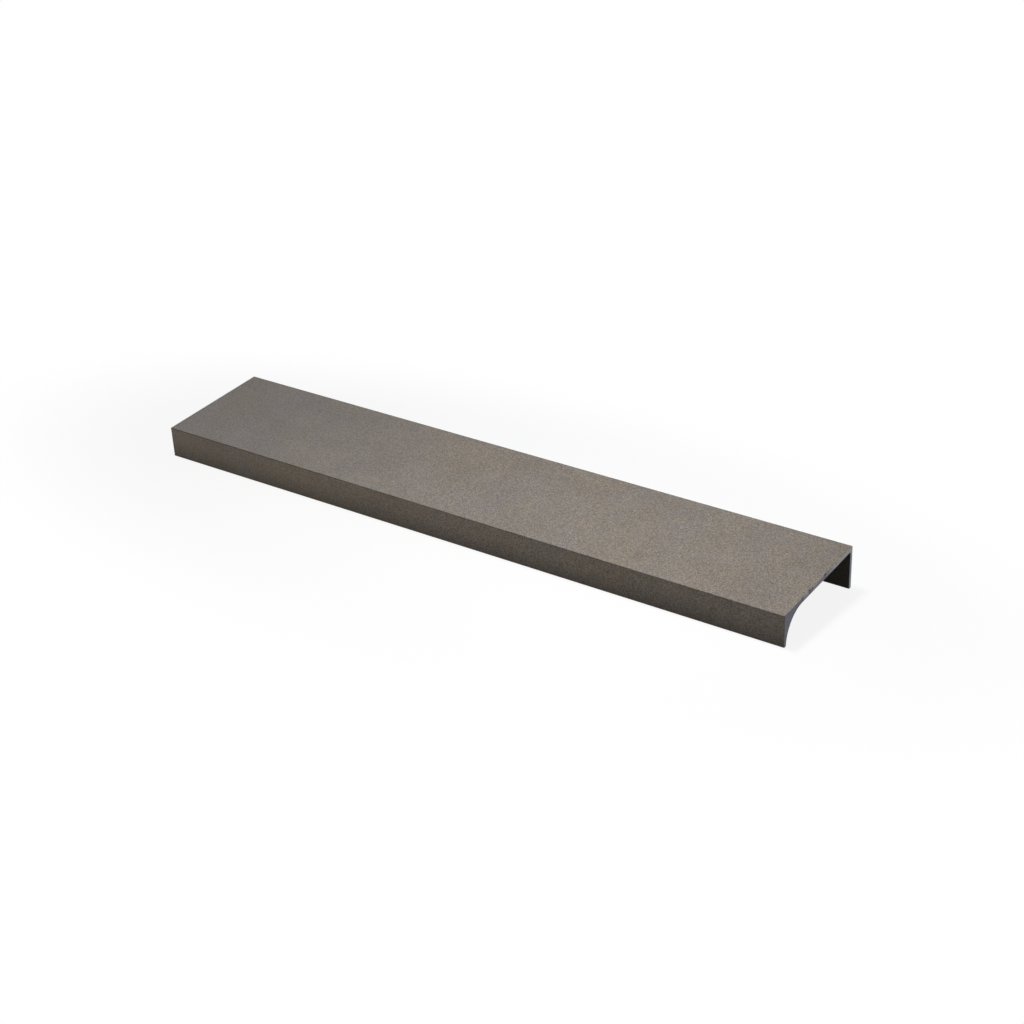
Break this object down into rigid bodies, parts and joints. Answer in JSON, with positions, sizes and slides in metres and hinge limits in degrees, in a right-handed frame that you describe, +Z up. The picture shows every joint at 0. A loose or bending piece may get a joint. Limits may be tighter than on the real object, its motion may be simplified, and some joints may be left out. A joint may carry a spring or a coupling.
{
  "type": "cabinet edge pull",
  "caption": "Extruded aluminium edge pull: flat web over a door's top edge, finger lip in front, drilled leg that screws on behind.",
  "frame": {"origin": "bottom centre of the overall box, with the pull standing unheld on a level floor", "axes": "+X along the pull, +Y from the lip at the front to the leg at the back, +Z up; the top face slopes down towards the lip by 5.11 degrees because the leg is taller than the lip"},
  "size_m": [0.2, 0.039, 0.0127],
  "materials": {
    "pull_profile": "satin titanium-brown metallic coat, bare aluminium on the two cut ends"
  },
  "bodies": {
    "root": {"pull_profile": "pull_profile"}
  },
  "joints": []
}
